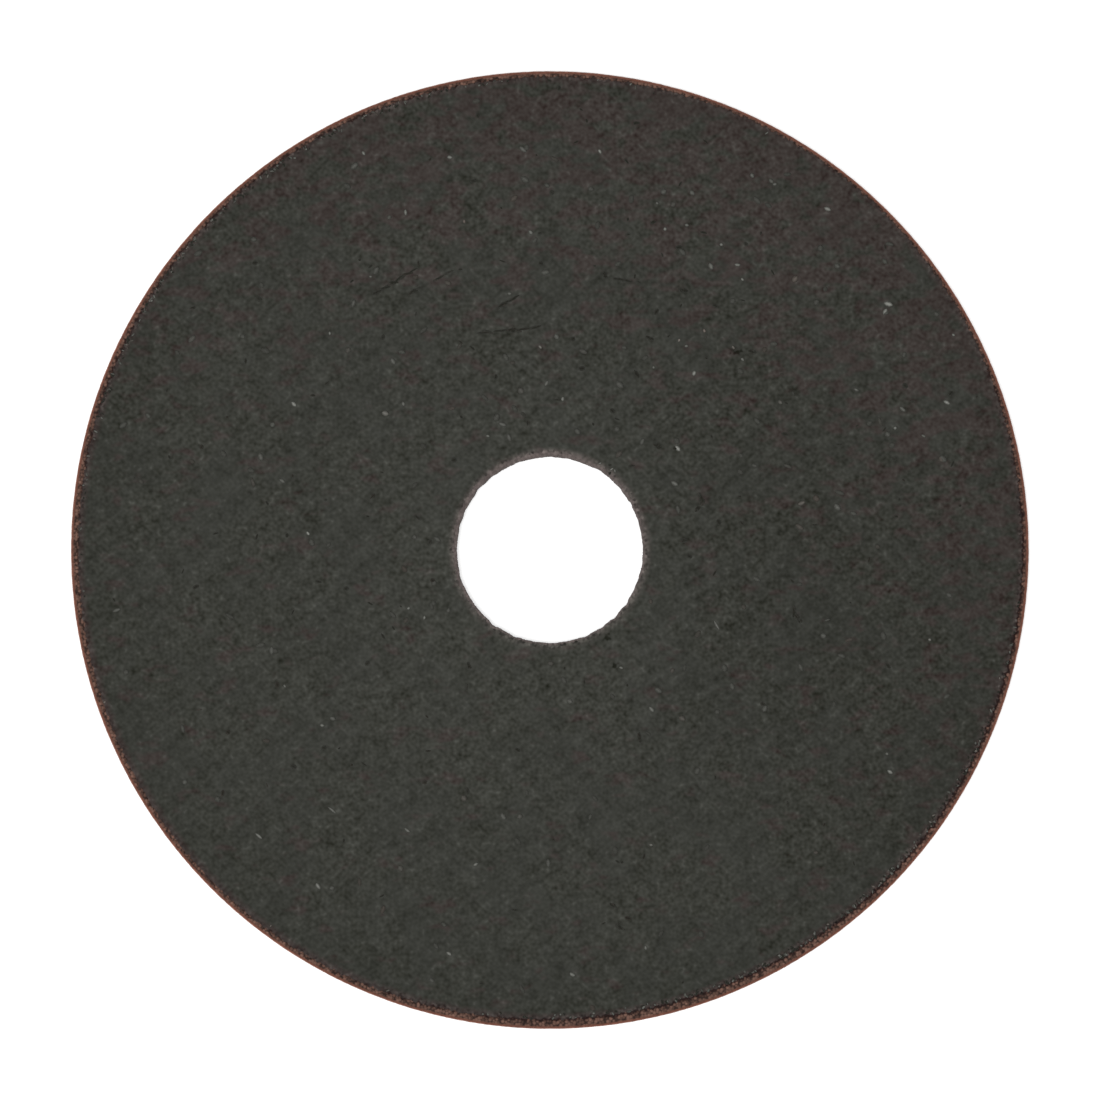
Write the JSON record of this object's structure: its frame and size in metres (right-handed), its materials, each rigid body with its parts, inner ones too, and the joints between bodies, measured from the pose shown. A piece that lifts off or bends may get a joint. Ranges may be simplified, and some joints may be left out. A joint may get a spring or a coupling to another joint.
{
  "type": "cut off wheel",
  "caption": "Thin flat resin-bonded abrasive cut-off disc with a plain round bore, dark woven-glass faces and a bare red-brown rim.",
  "frame": {"origin": "where the bore axis meets the lower face, which the wheel lies on", "axes": "+Z along the bore axis, up out of the upper face; X and Y in the plane of the wheel"},
  "size_m": [0.115, 0.115, 0.001],
  "materials": {
    "abrasive": "matte"
  },
  "bodies": {
    "root": {"wheel": "abrasive"}
  },
  "joints": []
}
